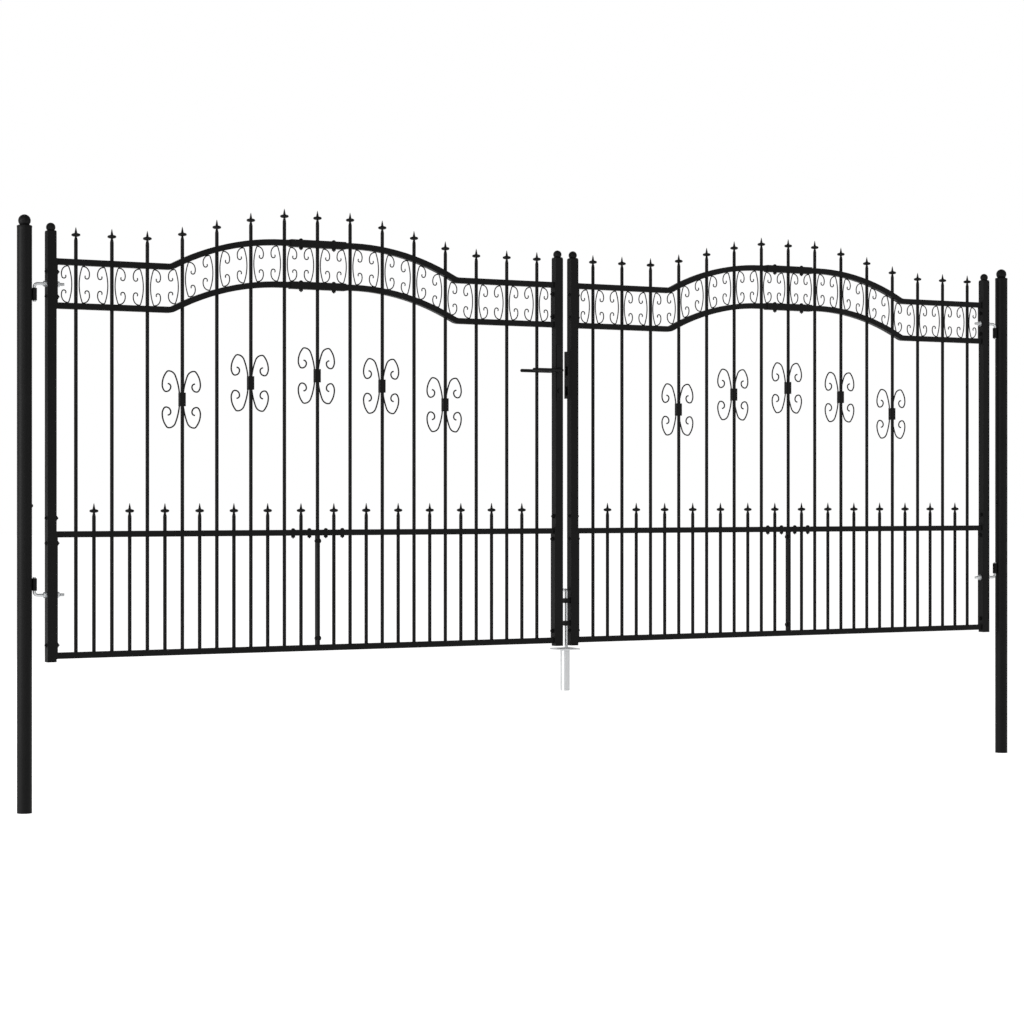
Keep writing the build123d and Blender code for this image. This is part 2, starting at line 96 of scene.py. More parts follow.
# Fasteners: the bolt at BARE_BOLT passes no flat
STILE_BOLTS = (1.7395, 1.659, 0.945, 0.864, 0.535)
BARE_BOLT = 0.945
MIDDLE_FLAT_BOLTS = (0.533, 0.864)
SLEEVE_BOLTS = (-0.061, 0.061)
MID_RAIL_BOLTS = (-0.09, -0.03, 0.031, 0.093)
POST_BOLT_Z, POST_BOLT_SINK = 0.985, 0.001
NUT_SIZE, NUT_HEIGHT = 0.013, 0.0065
BOLT_END_D, BOLT_END = 0.006, 0.003
THREAD_PITCH, THREAD_DEPTH = 0.00125, 0.0005

# Hinge bolts
PIN_REACH, HINGE_BEND = 0.024, 0.011
THREAD_X, THREAD_LENGTH = HINGE_X + 0.03, 0.0142
WASHER_D, WASHER_HEIGHT = 0.021, 0.002
HINGE_NUT_SIZE, HINGE_NUT_HEIGHT = 0.017, 0.008

# Lock and drop rod
ROSE_SEAT, SHANK_FOOT = 0.0183, 0.003
LEVER_REACH, LEVER_LENGTH, LEVER_BEND = 0.045, 0.127, 0.014
LEVER_FLATNESS = 0.92
GRIP_ROUNDING, GRIP_POINTS = 0.006, 60
PLATE_SCREWS = (-0.1, 0.084)
CYLINDER_DROP, CYLINDER_LIFT = 0.072, 0.0002
KEY_HALF_WIDTH, KEY_HALF_HEIGHT = 0.0009, 0.0045
KEY_FROM, KEY_TO = 0.0035, 0.0044
ROD_BEND = 0.007

# Stage: lamps as name, place, side in metres and power in watts, all facing LIT
LAMPS = (("key", (-3.5, -5.0, 4.5), 3.0, 110), ("side", (-6.5, -0.5, 2.0), 3.0, 330),
         ("fill", (6.0, -5.0, 3.5), 4.0, 50), ("back", (2.0, 6.0, 4.5), 4.0, 80))
LIT = (2.0, 0.0, 1.0)
WORLD_LIGHT, FLOOR_GLOW = 0.3, 0.78
CAMERA_PLACE, CAMERA_YAW = (-2.509, -7.810, 1.006), -28.79
LENS, SENSOR, SHIFT_Y = 88.34, 36.0, -0.0125


# Meshes

def revolve(profile, around):
    """Turns (radius, height) pairs about Z: a ring of evenly spaced points per pair."""
    r, z = np.asarray(profile, float).T
    turn = np.arange(around) * 2 * np.pi / around
    ring = np.stack([np.cos(turn), np.sin(turn), np.zeros(around)], 1)
    return r[:, None, None] * ring + z[:, None, None] * np.array([0.0, 0.0, 1.0])


def square_rings(profile, corner=0.0012):
    """Square rings with small cut corners: each (half side, height) pair gives eight points."""
    h, z = np.asarray(profile, float).T
    c = np.minimum(corner, h * 0.4)
    signs = np.array([(1, -1, 0, 1), (1, 1, 0, -1), (1, 1, -1, 0), (-1, 1, 1, 0),
                      (-1, 1, 0, -1), (-1, -1, 0, 1), (-1, -1, 1, 0), (1, -1, -1, 0)])
    xy = h[:, None, None] * signs[:, :2] + c[:, None, None] * signs[:, 2:]
    return np.concatenate([xy, np.broadcast_to(z[:, None, None], xy.shape[:2] + (1,))], 2)


def carry(path, section, normal):
    """Carries a flat section along a path that lies in one plane.

    At each point the section's first axis is the plane's normal and its second is square to the path.
    """
    path = np.asarray(path, float)
    along = np.gradient(path, axis=0)
    along /= np.linalg.norm(along, axis=1, keepdims=True)
    side = np.cross(along, normal)
    section = np.asarray(section, float)
    out = section[None, :, :1] * np.asarray(normal, float)
    return path[:, None] + out + section[None, :, 1:] * side[:, None]


def round_section(diameter, around):
    """Points of a circle."""
    turn = np.arange(around) * 2 * np.pi / around
    return diameter / 2 * np.stack([np.cos(turn), np.sin(turn)], 1)


def bent(corners, radius, steps=8):
    """Path through corners, each inner corner rounded to an arc that meets both runs smoothly."""
    corners = np.asarray(corners, float)
    path = [corners[:1]]
    for before, at, after in zip(corners, corners[1:], corners[2:]):
        a, b = (before - at) / np.linalg.norm(before - at), (after - at) / np.linalg.norm(after - at)
        half = np.arccos(np.clip(a @ b, -1, 1)) / 2
        cut = radius / np.tan(half)
        centre = at + (a + b) / np.linalg.norm(a + b) * radius / np.sin(half)
        t = np.linspace(0, 1, steps)[:, None] * (np.pi - 2 * half)
        start = at + a * cut - centre
        path.append(centre + start * np.cos(t) + -a * radius * np.sin(t))
    return np.concatenate(path + [corners[-1:]])


def arcs(radii_turns, start, per_arc=8):
    """Half a scroll from its waist, as (across, up): arcs of (radius, degrees) that run on."""
    radius = np.repeat([r for r, _ in radii_turns], per_arc)
    turn = np.repeat([math.radians(t) / per_arc for _, t in radii_turns], per_arc)
    after = np.cumsum(turn)
    before = after - turn
    x = start + np.cumsum(radius * (np.cos(before) - np.cos(after)))
    z = np.cumsum(radius * (np.sin(after) - np.sin(before)))
    return np.stack([np.concatenate([[start], x]), np.concatenate([[0.0], z])], 1)


def whole_scroll(half, height=None):
    """Both halves of a C-scroll from curl to curl, stretched to a half height where one is given."""
    half = half * [1.0, 1.0 if height is None else height / half[:, 1].max()]
    both = np.concatenate([half[:0:-1] * [1, -1], half])
    return np.stack([both[:, 0], np.zeros(len(both)), both[:, 1]], 1)


def aim(points, at, axis):
    """Turns points made about Z so that Z becomes axis, and sets them at a place."""
    axis = np.asarray(axis, float)
    across = np.cross(axis, (0.0, 1.0, 0.0) if abs(axis[1]) < 0.9 else (1.0, 0.0, 0.0))
    across /= np.linalg.norm(across)
    turned = np.stack([across, np.cross(axis, across), axis])
    return points @ turned + np.asarray(at, float)


def skin(points):
    """Faces of a grid of rings: quads between neighbours, and a cap on each end."""
    rows, around = points.shape[:2]
    index = np.arange(rows * around).reshape(rows, around)
    right = np.roll(index, -1, axis=1)
    quads = np.stack([index[:-1], right[:-1], right[1:], index[1:]], 2).reshape(-1, 4).tolist()
    return quads + [index[0, ::-1].tolist(), index[-1].tolist()]


def make(name, grids, body, material, mirrored=False, angle=40.0):
    """One object of many closed grids, placed in its mesh, riding a body and painted."""
    verts, faces, count = [], [], 0
    for grid in grids:
        flat = grid.reshape(-1, 3)
        if mirrored:
            flat = flat * [-1, 1, 1] + [GATE, 0, 0]
        own = skin(grid)
        volume = signed_volume(flat, own)
        faces += [[count + i for i in (face if volume > 0 else face[::-1])] for face in own]
        verts.append(flat)
        count += len(flat)
    mesh = bpy.data.meshes.new(name)
    mesh.from_pydata(np.concatenate(verts).tolist(), [], faces)
    mesh.shade_smooth()
    mesh.set_sharp_from_angle(angle=math.radians(angle))
    mesh.update()
    piece = bpy.data.objects.new(name, mesh)
    bpy.context.scene.collection.objects.link(piece)
    mesh.materials.append(bpy.data.materials[material])
    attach(piece, body)
    return piece


def signed_volume(verts, faces):
    """Sum of the tetrahedra from the mesh's middle to its quads, positive where faces point outwards."""
    quads = np.array([face for face in faces if len(face) == 4])
    a, b, c, d = (verts[quads[:, k]] - verts.mean(0) for k in range(4))
    return (np.cross(a, b) * c).sum() + (np.cross(a, c) * d).sum()


def block(x0, x1, y0, y1, z0, z1):
    """Plain block between two corners, as two rings of four points."""
    ring = np.array([(x0, y0), (x1, y0), (x1, y1), (x0, y1)])
    return np.stack([np.column_stack([ring, np.full(4, z)]) for z in (z0, z1)])


def hex_nut(size=NUT_SIZE, height=NUT_HEIGHT):
    """Hexagon with chamfered corners, made about Z from its seat upwards."""
    r = size / math.sqrt(3)
    return revolve([(r * 0.93, 0), (r, height * 0.1), (r, height * 0.85), (r * 0.88, height)], 6)


def washer(diameter, height):
    """Flat washer about Z."""
    return revolve([(diameter / 2, 0), (diameter / 2, height)], 24)


def dome(diameter=0.014, height=0.0055):
    """Low domed bolt head: a quarter ellipse turned about Z."""
    t = np.linspace(0, np.pi / 2, 7)
    return revolve(np.stack([diameter / 2 * np.cos(t) + 1e-5, height * np.sin(t)], 1), 20)


def stud(diameter, length):
    """Threaded end about Z, its pitch drawn as a row of shallow ridges."""
    turns = max(int(length / THREAD_PITCH), 2)
    z = np.linspace(0, length, 2 * turns + 1)
    r = diameter / 2 - THREAD_DEPTH * (np.arange(len(z)) % 2)
    return revolve(np.stack([r, z], 1), 16)


# Materials

def linear(hex_code):
    """sRGB hex to linear RGBA."""
    c = np.array([int(hex_code[i:i + 2], 16) / 255 for i in (1, 3, 5)])
    low = c <= 0.04045
    return (*np.where(low, c / 12.92, ((c + 0.055) / 1.055) ** 2.4), 1.0)


def add(tree, kind, links=(), **settings):
    """Adds a node, sets its sockets or properties by name and links outputs into it."""
    node = tree.nodes.new(kind)
    for key, value in settings.items():
        name = key.replace("_", " ")
        if name in node.inputs:
            node.inputs[name].default_value = value
        else:
            setattr(node, key, value)
    for source, output, target in links:
        tree.links.new(source.outputs[output], node.inputs[target])
    return node


def surface_material(name, **shader):
    """New material with a Principled shader and Object coordinates."""
    material = bpy.data.materials.new(name)
    material.use_nodes = True
    tree = material.node_tree
    bsdf = tree.nodes["Principled BSDF"]
    for key, value in shader.items():
        bsdf.inputs[key.replace("_", " ")].default_value = value
    return tree, bsdf, add(tree, "ShaderNodeTexCoord")


def powder_coat(colours):
    """Polyester powder coat, sprayed and baked: a fine orange-peel skin, low sheen, faintly uneven."""
    tree, bsdf, place = surface_material("powder_coat_black", IOR=1.5, Specular_IOR_Level=0.12)
    wide = add(tree, "ShaderNodeTexNoise", [(place, "Object", "Vector")], Scale=9.0, Detail=3.0)
    tone = add(tree, "ShaderNodeValToRGB", [(wide, "Fac", "Fac")])
    tone.color_ramp.elements[0].position, tone.color_ramp.elements[1].position = 0.35, 0.7
    tone.color_ramp.elements[0].color = linear(colours.coat)
    tone.color_ramp.elements[1].color = linear(colours.coat_light)
    tree.links.new(tone.outputs["Color"], bsdf.inputs["Base Color"])
    # Orange peel about 1.6 mm across, with a 0.4 mm grain in it
    peel = add(tree, "ShaderNodeTexNoise", [(place, "Object", "Vector")], Scale=620.0, Detail=2.0)
    rough = add(tree, "ShaderNodeMapRange", [(peel, "Fac", "Value")], To_Min=0.47, To_Max=0.55)
    tree.links.new(rough.outputs["Result"], bsdf.inputs["Roughness"])
    bump = add(tree, "ShaderNodeBump", [(peel, "Fac", "Height")], Strength=0.06, Distance=0.0001)
    tree.links.new(bump.outputs["Normal"], bsdf.inputs["Normal"])


def lock_enamel(colours):
    """Stoved enamel on pressed steel: smoother and a little glossier than the powder coat."""
    tree, bsdf, place = surface_material("lock_enamel_black", Roughness=0.34, IOR=1.5,
                                         Specular_IOR_Level=0.14)
    bsdf.inputs["Base Color"].default_value = linear(colours.enamel)
    # Soft waviness about 4 mm across from dipping
    wave = add(tree, "ShaderNodeTexNoise", [(place, "Object", "Vector")], Scale=250.0, Detail=1.0)
    bump = add(tree, "ShaderNodeBump", [(wave, "Fac", "Height")], Strength=0.12, Distance=0.0003)
    tree.links.new(bump.outputs["Normal"], bsdf.inputs["Normal"])


def zinc_plate(colours):
    """Bright zinc electroplate on drawn steel rod: pale grey, with faint drawing lines and cloudy tone."""
    tree, bsdf, place = surface_material("zinc_plate", Metallic=1.0)
    cloud = add(tree, "ShaderNodeTexNoise", [(place, "Object", "Vector")], Scale=60.0, Detail=4.0)
    tone = add(tree, "ShaderNodeValToRGB", [(cloud, "Fac", "Fac")])
    tone.color_ramp.elements[0].position, tone.color_ramp.elements[1].position = 0.3, 0.75
    tone.color_ramp.elements[0].color = linear(colours.zinc_dark)
    tone.color_ramp.elements[1].color = linear(colours.zinc)
    tree.links.new(tone.outputs["Color"], bsdf.inputs["Base Color"])
    # Drawing lines 0.5 mm apart, drawn coarser than life so that they show
    stretch = add(tree, "ShaderNodeMapping", [(place, "Object", "Vector")], Scale=(2000.0, 2000.0, 40.0))
    lines = add(tree, "ShaderNodeTexNoise", [(stretch, "Vector", "Vector")], Scale=1.0, Detail=2.0)
    rough = add(tree, "ShaderNodeMapRange", [(lines, "Fac", "Value")], To_Min=0.46, To_Max=0.6)
    tree.links.new(rough.outputs["Result"], bsdf.inputs["Roughness"])
    bump = add(tree, "ShaderNodeBump", [(lines, "Fac", "Height")], Strength=0.15, Distance=0.0001)
    tree.links.new(bump.outputs["Normal"], bsdf.inputs["Normal"])


def painted_slot_shade():
    """Painted shade of the key slot's shadowed inside: matt black."""
    tree, bsdf, place = surface_material("key_slot_dark", Roughness=0.9, IOR=1.45)
    # Random mottle within the painted shade, between two near-blacks
    painted_shade_mottle = add(tree, "ShaderNodeTexNoise", [(place, "Object", "Vector")], Scale=400.0)
    tone = add(tree, "ShaderNodeValToRGB", [(painted_shade_mottle, "Fac", "Fac")])
    tone.color_ramp.elements[0].color = linear("#020202")
    tone.color_ramp.elements[1].color = linear("#080808")
    tree.links.new(tone.outputs["Color"], bsdf.inputs["Base Color"])


def paint_frame():
    """Gives every carried-over part of the frame its finish by its slot."""
    finish = {"powder_coat": "powder_coat_black", "lock_steel": "lock_enamel_black",
              "zinc_plate": "zinc_plate"}
    for part in frame["record"]["subparts"]:
        mesh = frame["nodes"][part["node"]].data
        mesh.materials.clear()
        mesh.materials.append(bpy.data.materials[finish[part["material_slot"]]])


# Sizes and colours a user may change

def colour(name, description, default):
    """Property for a colour as sRGB hex."""
    return bpy.props.StringProperty(name=name, description=description, default=default)


def length(name, description, default):
    """Property for a length in metres."""
    return bpy.props.FloatProperty(name=name, description=description, default=default,
                                   unit="LENGTH", subtype="DISTANCE")


class GateColours(bpy.types.PropertyGroup):
    """Colours of the gate's finishes, as sRGB hex."""
    coat: colour("Powder coat", "Main tone of the coat", "#101010")
    coat_light: colour("Powder coat, light", "Lighter tone", "#141414")
    enamel: colour("Lock enamel", "Tone of the lock", "#101010")
    zinc: colour("Zinc", "Main tone of the zinc plate", "#b4b5b6")
    zinc_dark: colour("Zinc, dark", "Darker tone", "#989a9c")
    floor: colour("Floor", "Tone of the floor", "#f6f6f6")


class GateSizes(bpy.types.PropertyGroup):
    """Sizes of the pieces that dress the frame."""
    bar: length("Bar", "Diameter of the round bars", 0.0121)
    band_wire: length("Band scroll wire", "Diameter of the wire", 0.004)
    bar_wire: length("Bar scroll wire", "Diameter of the wire", 0.005)
    hinge_bolt: length("Hinge bolt", "Diameter of the hinge bolts", 0.01)
    lever: length("Lever", "Thickness of the lever's grip", 0.012)
    rod: length("Drop rod", "Diameter of the drop rod", 0.012)


# Pieces

def rise(x):
    """Height of an arched rail above its ends.

    It is flat in the middle, then an 850 mm arc, then a small bend at the foot.
    """
    along = np.abs(x - LEAF_X) - ARCH_FLAT_HALF
    reach = ARCH_RADIUS + FOOT_RADIUS
    turn = math.acos(1 - ARCH_RISE / reach)
    arc = ARCH_RISE - ARCH_RADIUS + np.sqrt(np.maximum(ARCH_RADIUS**2 - np.clip(along, 0, None)**2, 0))
    foot = np.clip(reach * math.sin(turn) - along, 0, FOOT_RADIUS)
    bend = FOOT_RADIUS - np.sqrt(FOOT_RADIUS**2 - foot**2)
    sloping = np.where(along <= ARCH_RADIUS * math.sin(turn), arc, bend)
    return np.where(along <= 0, ARCH_RISE, sloping)


def spear(foot, tip, diameter):
    """Round bar whose end is turned to a neck, a lens collar and a cone, from its foot to its tip.

    The collar stands out from the neck by 1 - |t| cubed, as t goes from -1 to 1 up its height.
    """
    r = diameter / 2
    t = np.linspace(-1, 1, 9)
    collar = np.stack([NECK_RADIUS + COLLAR_OUT * (1 - np.abs(t) ** 3),
                       tip - COLLAR_DROP + COLLAR_HALF_HEIGHT * t], 1)
    collar[0, 0] = NECK_UNDER_COLLAR
    point = [(NECK_RADIUS, tip - 0.0185), (0.0033, tip - 0.0127), (0.0019, tip - 0.0053), (0.0006, tip)]
    neck = [(r, foot), (r, tip - 0.044), (r * 0.94, tip - 0.0415), (NECK_RADIUS, tip - 0.0355)]
    return revolve(np.concatenate([neck, collar, point]), 18)


class GATE_OT_materials(bpy.types.Operator):
    """Makes the finishes and paints the frame's own parts"""
    bl_idname = "gate.materials"
    bl_label = "Finishes"

    def execute(self, context):
        for finish in (powder_coat, lock_enamel, zinc_plate):
            finish(context.scene.gate_colours)
        painted_slot_shade()
        paint_frame()
        return {"FINISHED"}


class GATE_OT_bars(bpy.types.Operator):
    """Round bars with turned spear points over the frame's plain bars"""
    bl_idname = "gate.bars"
    bl_label = "Bars and spear points"

    def execute(self, context):
        d = context.scene.gate_sizes.bar
        middle = np.arange(TALL_BARS) == TALL_BARS // 2
        foot = np.where(middle, MID_RAIL, BOTTOM_RAIL) + RAIL_HALF - BAR_SINK
        grids = [spear(0, tip - base, d) + [x, 0, base]
                 for x, base, tip in zip(BAR_X, foot, TALL_TIP + TIP_STEPS)]
        short = (BAR_X[1:] + BAR_X[:-1]) / 2
        grids += [spear(0, DOG_TIP - foot[0], d) + [x, 0, foot[0]] for x in short]
        for side, mirrored in SIDES:
            make(f"{side}_round_bars", grids, f"{side}_leaf", "powder_coat_black", mirrored)
        return {"FINISHED"}


class GATE_OT_band_scrolls(bpy.types.Operator):
    """C-scrolls of bent wire between the two arched rails"""
    bl_idname = "gate.band_scrolls"
    bl_label = "Band scrolls"

    def execute(self, context):
        d = context.scene.gate_sizes.band_wire
        half = arcs(BAND_ARCS, BAND_START)
        section = round_section(d, 8)
        grids = []
        for x in BAR_X:
            for side in (-1, 1):
                low, top = self.seats(x, side, half, d)
                path = whole_scroll(half, (top - low) / 2 - d / 2)
                path = path * [side, 1, 1] + [x, BAND_Y, (low + top) / 2]
                grids.append(carry(path, section, (0.0, 1.0, 0.0)))
        for side, mirrored in SIDES:
            piece = make(f"{side}_wire_band", grids, f"{side}_leaf", "powder_coat_black",
                         mirrored)
            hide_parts(f"{side}_band_scrolls")
        return {"FINISHED"}

    def seats(self, x, side, half, wire):
        """Lowest and highest point of a scroll at x whose wire touches both rails, or their sleeves."""
        along = np.gradient(half, axis=0)
        along /= np.linalg.norm(along, axis=1, keepdims=True)
        outer = half + wire / 2 * np.stack([-along[:, 1], along[:, 0]], 1)
        drop = outer[:, 1].max() - outer[:, 1]
        at = x + side * outer[:, 0]
        slope = (rise(at + SLOPE_STEP) - rise(at - SLOPE_STEP)) / (2 * SLOPE_STEP)
        over_sleeve = np.abs(at - LEAF_X) < SLEEVE_REACH + wire
        edge = np.where(over_sleeve, SLEEVE_HALF, RAIL_HALF) * np.sqrt(1 + slope**2)
        return (BAND_RAIL + rise(at) + edge - drop).max(), (TOP_RAIL + rise(at) - edge + drop).min()


class GATE_OT_bar_scrolls(bpy.types.Operator):
    """Pairs of large C-scrolls, clasped back to back behind every other bar"""
    bl_idname = "gate.bar_scrolls"
    bl_label = "Bar scrolls"

    def execute(self, context):
        d = context.scene.gate_sizes.bar_wire
        path = whole_scroll(arcs(BAR_ARCS, BAR_START))
        section = round_section(d, 10)
        grids = []
        for i, z in BAR_SCROLLS:
            grids += [carry(path * [s, 1, 1] + [BAR_X[i], BAR_Y, z], section, (0.0, 1.0, 0.0))
                      for s in (-1, 1)]
            grids += self.clasp(BAR_X[i], z)
        for side, mirrored in SIDES:
            piece = make(f"{side}_wire_scrolls", grids, f"{side}_leaf", "powder_coat_black",
                         mirrored)
            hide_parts(f"{side}_bar_scrolls")
        return {"FINISHED"}

    def clasp(self, x, z):
        """Four plates round a bar and the two wires behind it."""
        low, top = z - CLASP_HEIGHT / 2, z + CLASP_HEIGHT / 2
        plates = [block(x - CLASP_HALF, x + CLASP_HALF, y, y + CLASP_WALL, low, top)
                  for y in (CLASP_FRONT, CLASP_REAR - CLASP_WALL)]
        return plates + [block(x + u, x + u + CLASP_WALL, CLASP_FRONT, CLASP_REAR, low, top)
                         for u in (-CLASP_HALF, CLASP_HALF - CLASP_WALL)]


class GATE_OT_caps(bpy.types.Operator):
    """Ball caps of the posts and stiles"""
    bl_idname = "gate.caps"
    bl_label = "Ball caps"

    def ball(self, radius, centre, neck):
        """Sphere from its neck up, after the angle at which it leaves the rim."""
        t = np.linspace(-math.acos(neck / radius), np.pi / 2, 22)
        return np.stack([radius * np.cos(t) + 1e-6, centre + radius * np.sin(t)], 1)

    def execute(self, context):
        rim = [(0.0245, 0), (0.0245, 0.0048), (0.0238, 0.006), (0.0195, 0.0078), (0.015, 0.0092)]
        cap = revolve(np.concatenate([rim, self.ball(radius=0.02, centre=0.022, neck=0.0135)]), 40)
        posts = [cap + [x, 0, POST_TOP] for x in (0, GATE)]
        piece = make("post_ball_caps", posts, "posts", "powder_coat_black", angle=50)
        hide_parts("post_caps")
        rim = square_rings([(0.015, 0), (0.015, 0.0035), (0.0135, 0.005), (0.0115, 0.0062)])
        ball = self.ball(radius=0.015, centre=0.016, neck=0.0098)
        ball = revolve(np.concatenate([[(0.0085, 0.003)], ball]), 32)
        grids = [g + [x, 0, STILE_TOP] for x in (HINGE_X, MEETING_X) for g in (rim, ball)]
        for side, mirrored in SIDES:
            piece = make(f"{side}_ball_caps", grids, f"{side}_leaf", "powder_coat_black",
                         mirrored)
            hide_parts(f"{side}_stile_caps")
        return {"FINISHED"}


class GATE_OT_hinges(bpy.types.Operator):
    """Bent hinge bolts with their nuts, washers and threaded ends"""
    bl_idname = "gate.hinges"
    bl_label = "Hinge bolts"

    def execute(self, context):
        d = context.scene.gate_sizes.hinge_bolt
        grids = []
        for eye, up in HINGES:
            z = eye + up * ARM_OFFSET
            end = eye - up * PIN_REACH
            path = bent(((AXIS_X, 0, end), (AXIS_X, 0, z), (THREAD_X, 0, z)), HINGE_BEND)
            grids.append(carry(path, round_section(d, 20), (0.0, 1.0, 0.0)))
            grids.append(aim(stud(d, THREAD_LENGTH), (THREAD_X, 0, z), (1, 0, 0)))
            inner, outer = HINGE_X + STILE_HALF + SIDE_FLAT, HINGE_X - STILE_HALF
            for x, way in ((inner, 1), (outer, -1)):
                nut_x = x + way * WASHER_HEIGHT
                grids.append(aim(washer(WASHER_D, WASHER_HEIGHT), (x, 0, z), (way, 0, 0)))
                grids.append(aim(hex_nut(HINGE_NUT_SIZE, HINGE_NUT_HEIGHT), (nut_x, 0, z), (way, 0, 0)))
        for side, mirrored in SIDES:
            piece = make(f"{side}_bent_bolts", grids, f"{side}_leaf", "zinc_plate", mirrored,
                         angle=30)
            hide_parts(f"{side}_hinge_bolts")
        return {"FINISHED"}


class GATE_OT_fasteners(bpy.types.Operator):
    """Black hexagon bolts and nuts through stiles, sleeves, mid rail and middle flats, and in the posts"""
    bl_idname = "gate.fasteners"
    bl_label = "Bolts and nuts"

    def execute(self, context):
        grids = []
        for x, inwards in ((HINGE_X, 1), (MEETING_X, -1)):
            for z in STILE_BOLTS:
                seat = STILE_HALF + (0.0 if z == BARE_BOLT else SIDE_FLAT)
                grids.append(aim(dome(), (x - inwards * STILE_HALF, 0, z), (-inwards, 0, 0)))
                grids.append(aim(hex_nut(), (x + inwards * seat, 0, z), (inwards, 0, 0)))
                grids.append(aim(stud(BOLT_END_D, BOLT_END), (x + inwards * (seat + NUT_HEIGHT), 0, z),
                                 (inwards, 0, 0)))
        for u in SLEEVE_BOLTS:
            for rail in (BAND_RAIL + ARCH_RISE, TOP_RAIL + ARCH_RISE):
                grids += self.upright_bolt(LEAF_X + u, rail, SLEEVE_HALF)
        for u in MID_RAIL_BOLTS:
            grids += self.upright_bolt(LEAF_X + u, MID_RAIL, RAIL_HALF)
        for z in MIDDLE_FLAT_BOLTS:
            for way in (-1, 1):
                end = hex_nut() if way > 0 else dome()
                grids.append(aim(end, (LEAF_X + way * MIDDLE_FLAT_HALF, 0, z), (way, 0, 0)))
        for side, mirrored in SIDES:
            make(f"{side}_bolts", grids, f"{side}_leaf", "powder_coat_black", mirrored,
                 angle=30)
        seat = POST_RADIUS - POST_BOLT_SINK
        heads = [aim(dome(0.012, 0.0055), (x, 0, POST_BOLT_Z), (way, 0, 0))
                 for x, way in ((seat, 1), (GATE - seat, -1))]
        make("post_bolt_heads", heads, "posts", "powder_coat_black")
        return {"FINISHED"}

    def upright_bolt(self, x, z, half):
        """Domed head on top of a rail and a nut below it."""
        return [aim(dome(), (x, 0, z + half), (0, 0, 1)), aim(hex_nut(), (x, 0, z - half), (0, 0, -1)),
                aim(stud(BOLT_END_D, BOLT_END), (x, 0, z - half - NUT_HEIGHT), (0, 0, -1))]


class GATE_OT_lock(bpy.types.Operator):
    """Lever handles, roses, key slots and plate screws of the lock"""
    bl_idname = "gate.lock"
    bl_label = "Lock"

    def execute(self, context):
        d = context.scene.gate_sizes.lever
        x, z = MEETING_X, SPINDLE_Z
        grids = []
        rose = revolve([(0.012, 0), (0.012, 0.0028), (0.0112, 0.0038), (0.0095, 0.004), (0.0078, 0.0052),
                        (0.0066, 0.009)], 32)
        section = round_section(1.0, 20) * [d, d * LEVER_FLATNESS]
        for s in (-1, 1):
            grids.append(aim(rose, (x, s * ROSE_SEAT, z), (0, s, 0)))
            path = bent(((x, s * (ROSE_SEAT + SHANK_FOOT), z), (x, s * LEVER_REACH, z),
                         (x - LEVER_LENGTH, s * LEVER_REACH, z)), LEVER_BEND, 12)
            grids.append(self.grip(path, section))
        piece = make("lever_handles", grids, "lever", "lock_enamel_black", angle=50)
        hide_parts("lock_lever")
        screws, slots = [], []
        barrel = revolve([(0.0085, 0), (0.0085, 0.0034), (0.0078, 0.004), (0.0062, 0.004)], 28)
        key_z = z - CYLINDER_DROP
        for s in (-1, 1):
            face = s * LOCK_FACE
            for dz in PLATE_SCREWS:
                screws.append(aim(dome(0.0075, 0.0022), (x, face, z + dz), (0, s, 0)))
            screws.append(aim(barrel, (x, face + s * CYLINDER_LIFT, key_z), (0, s, 0)))
            # The key slot is a near-black block on the barrel's face: painted shade where the keyhole is
            slots.append(block(x - KEY_HALF_WIDTH, x + KEY_HALF_WIDTH,
                               *sorted((face + s * KEY_FROM, face + s * KEY_TO)),
                               key_z - KEY_HALF_HEIGHT, key_z + KEY_HALF_HEIGHT))
        make("lock_screws", screws, "left_leaf", "lock_enamel_black", angle=50)
        make("key_slots", slots, "left_leaf", "key_slot_dark")
        return {"FINISHED"}

    def grip(self, path, section):
        """Carries the lever's section along its path and rounds it off over the last few millimetres."""
        run = np.concatenate([[0], np.cumsum(np.linalg.norm(np.diff(path, axis=0), axis=1))])
        fine = np.linspace(0, run[-1], GRIP_POINTS)
        path = np.stack([np.interp(fine, run, path[:, k]) for k in range(3)], 1)
        left = run[-1] - fine
        size = np.sqrt(np.clip(1 - np.clip(1 - left / GRIP_ROUNDING, 0, 1) ** 2, 0.02, 1))
        rings = carry(path, section, (0.0, 0.0, 1.0))
        return path[:, None] + (rings - path[:, None]) * size[:, None, None]


class GATE_OT_drop_rod(bpy.types.Operator):
    """Drop rod with its bent handle"""
    bl_idname = "gate.drop_rod"
    bl_label = "Drop rod"

    def execute(self, context):
        d = context.scene.gate_sizes.rod
        path = bent(((ROD_X, 0, ROD_TIP), (ROD_X, 0, ROD_TOP), (ROD_X, ROD_HANDLE, ROD_TOP)), ROD_BEND, 10)
        rod = carry(path, round_section(d, 24), (1.0, 0.0, 0.0))
        piece = make("zinc_drop_rod", [rod], "drop_bolt", "zinc_plate", angle=50)
        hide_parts("drop_rod")
        return {"FINISHED"}


